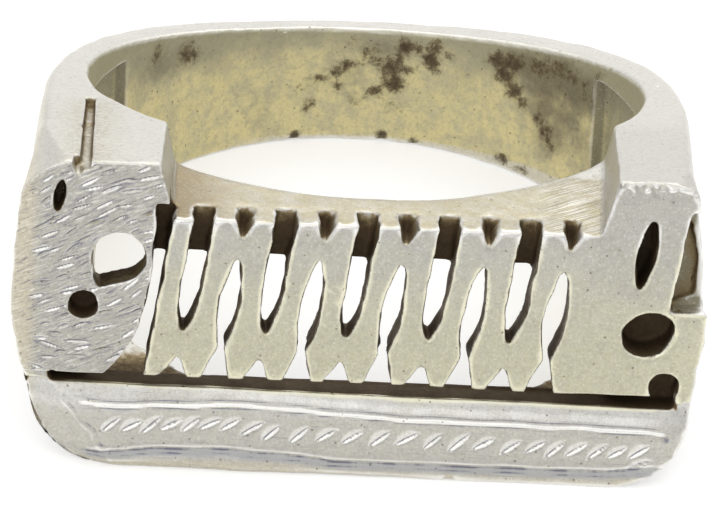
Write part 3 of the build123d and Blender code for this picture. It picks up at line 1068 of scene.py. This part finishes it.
def cuts(graph, at, colour):
    """The cuts in painted light and shade: painted cool shade in the trough, walls painted pale, painted
    highlights and painted dark lines beside them.
    """
    shiny = graph.plus(at.paint, graph.swing(at.fine, 0.3))
    # painted cool shade in the trough, walls painted pale, painted highlights and painted dark lines
    colour = graph.layer(colour, COOL, at.trough, 0.65)
    colour = graph.layer(colour, BRIGHT, at.facet, graph.plus(at.speck, 0.10))
    colour = graph.layer(colour, BRIGHT, graph.step(shiny, 0.60, 0.85), 0.95)
    return graph.layer(colour, INK, graph.step(shiny, 0.42, 0.05), 0.9)


def polished_edges(graph, at, colour):
    """Edges brightened by wear and a painted highlight, with a cream tint on the openwork, the cream ledge
    over the bar, and tiny pits.
    """
    shine = graph.layer(BRIGHT, CREAM, at.plain, graph.step(at.height, 3.4, 2.8))
    # wear and painted highlight on the edges
    colour = graph.layer(colour, shine, at.polish, 0.75)
    colour = graph.layer(colour, CREAM, box(graph, at, LEDGE), 0.8)
    return graph.layer(colour, BROWN, at.dots, 0.65)


LAYERS = [metal_tones, films, inner_wall, mottling, soiling, blotches, hairlines, cuts, polished_edges]

# Height in metres of the finest relief, and its strength
RELIEF_HEIGHT = 0.03 * MM
RELIEF_STRENGTH = 0.4


def relief(graph, at):
    """Fine relief all over, with pits, the block's hairlines and the bar's sunk into it."""
    rises = graph.plus(graph.times(at.fine, 0.45), graph.times(at.scratch, 0.4), graph.times(at.grain, 0.8))
    height = graph.minus(
        rises,
        graph.times(at.dots, 0.6),
        graph.times(at.block, at.hair, 2.2),
        graph.times(at.bar, at.streak, 0.9),
    )
    bump = graph.node("ShaderNodeBump")
    bump.inputs["Strength"].default_value = RELIEF_STRENGTH
    bump.inputs["Distance"].default_value = RELIEF_HEIGHT
    graph.feed(bump.inputs["Height"], height)
    return bump.outputs["Normal"]


def silver_material():
    """Worn silver with tarnish, dirt, painted shade where it is closed in and graver's cuts in painted
    light, duller where it is dirty or closed in.
    """
    material = bpy.data.materials.new("worn_silver")
    material.use_nodes = True
    graph = Graph(material)
    at = read(graph)
    colour = SILVER
    for lay in LAYERS:
        colour = lay(graph, at, colour)
    dull = graph.most(graph.step(at.soil, 0.3, 0.7), graph.times(at.inner, 0.6), at.hollow)
    rough = graph.plus(graph.times(at.grain, 0.22), 0.27, graph.times(dull, 0.25))
    shader = graph.node("ShaderNodeBsdfPrincipled")
    graph.feed(shader.inputs["Base Color"], colour)
    graph.feed(shader.inputs["Metallic"], graph.minus(1.0, graph.times(graph.most(dull, at.spots), 0.6)))
    graph.feed(shader.inputs["Roughness"], graph.minus(rough, graph.times(at.polish, 0.1)))
    graph.feed(shader.inputs["Normal"], relief(graph, at))
    shader.inputs["Specular IOR Level"].default_value = 0.15
    out = graph.node("ShaderNodeOutputMaterial")
    graph.feed(out.inputs["Surface"], shader.outputs[0])
    return material


def build_ring():
    piece = remeshed_copy("name_ring", "silver_ring")
    refined(piece)
    worn(piece)
    mark_edges(piece)
    thinned(piece)
    marked(piece)
    piece.data.transform(Matrix.Scale(MM, 4) @ ring_to_row)
    piece.data.shade_smooth()
    piece.data.materials.clear()
    piece.data.materials.append(silver_material())
    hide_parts("name_ring")
    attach(piece, "root")


# Stage

# Half the side of the white card that the ring lies on, in metres
FLOOR_HALF = 0.6

# The light tent: grey at the horizon, 0, to white higher up, with 1 straight above
TENT = [
    (0.0, (0.34, 0.35, 0.40, 1)),
    (1.0, (1.0, 1.0, 1.0, 1)),
    (0.35, (0.85, 0.85, 0.86, 1)),
    (0.55, (1.0, 1.0, 1.0, 1)),
]
TENT_STRENGTH = 1.12

# Lamps: name, place and size in metres, and power in watts; and the point in metres that they face
LAMPS = [
    ("front", (-0.10, -0.22, 0.13), 0.12, 0.05),
    ("back", (0.03, 0.20, 0.16), 0.20, 0.10),
]
LAMP_TARGET = Vector((0, 0, 0.004))


def floor_material():
    """White card, lit a little from below as the table of a light tent is."""
    material = bpy.data.materials.new("pale_floor")
    material.use_nodes = True
    shader = material.node_tree.nodes["Principled BSDF"]
    shader.inputs["Base Color"].default_value = (0.80, 0.80, 0.80, 1)
    shader.inputs["Roughness"].default_value = 0.9
    shader.inputs["Specular IOR Level"].default_value = 0.1
    shader.inputs["Emission Color"].default_value = (1, 1, 1, 1)
    shader.inputs["Emission Strength"].default_value = 0.34
    return material


def add_floor():
    mesh = bpy.data.meshes.new("floor")
    corners = [(-FLOOR_HALF, -FLOOR_HALF, 0), (FLOOR_HALF, -FLOOR_HALF, 0),
               (FLOOR_HALF, FLOOR_HALF, 0), (-FLOOR_HALF, FLOOR_HALF, 0)]
    mesh.from_pydata(corners, [], [(0, 1, 2, 3)])
    mesh.materials.append(floor_material())
    floor = bpy.data.objects.new("floor", mesh)
    bpy.context.scene.collection.objects.link(floor)


def add_light(name, place, size, power):
    data = bpy.data.lights.new(name, "AREA")
    data.size = size
    data.energy = power
    light = bpy.data.objects.new(name, data)
    light.location = place
    light.rotation_euler = (LAMP_TARGET - Vector(place)).to_track_quat("-Z", "Y").to_euler()
    bpy.context.scene.collection.objects.link(light)


def add_world():
    world = bpy.data.worlds.new("tent")
    world.use_nodes = True
    tree = world.node_tree
    tree.nodes.clear()
    coords = tree.nodes.new("ShaderNodeTexCoord")
    split = tree.nodes.new("ShaderNodeSeparateXYZ")
    ramp = tree.nodes.new("ShaderNodeValToRGB")
    background = tree.nodes.new("ShaderNodeBackground")
    out = tree.nodes.new("ShaderNodeOutputWorld")
    tree.links.new(coords.outputs["Generated"], split.inputs[0])
    tree.links.new(split.outputs["Z"], ramp.inputs[0])
    tree.links.new(ramp.outputs[0], background.inputs[0])
    tree.links.new(background.outputs[0], out.inputs[0])
    # a new ramp has its first two stops at 0 and 1
    stops = ramp.color_ramp.elements
    for i, (position, colour) in enumerate(TENT):
        stop = stops[i] if i < 2 else stops.new(position)
        stop.color = colour
    background.inputs[1].default_value = TENT_STRENGTH
    bpy.context.scene.world = world


def add_camera():
    azimuth = math.radians(CAMERA_AZIMUTH)
    elevation = math.radians(CAMERA_ELEVATION)
    forward = Vector((
        math.sin(azimuth) * math.cos(elevation),
        math.cos(azimuth) * math.cos(elevation),
        -math.sin(elevation),
    ))
    right = forward.cross(Vector((0, 0, 1))).normalized()
    up = right.cross(forward)
    turn = Matrix((right, up, -forward)).transposed().to_4x4()
    turn = turn @ Matrix.Rotation(math.radians(CAMERA_ROLL), 4, "Z")
    data = bpy.data.cameras.new("photo_camera")
    data.lens = LENS
    data.sensor_width = SENSOR
    data.clip_start = 1 * MM
    data.clip_end = 10.0
    camera = bpy.data.objects.new("photo_camera", data)
    camera.matrix_world = Matrix.Translation(CAMERA_TARGET - forward * CAMERA_DISTANCE) @ turn
    bpy.context.scene.collection.objects.link(camera)
    bpy.context.scene.camera = camera


add_camera()
build_ring()
add_floor()
add_world()
for lamp in LAMPS:
    add_light(*lamp)
bpy.context.scene.view_settings.view_transform = "Standard"
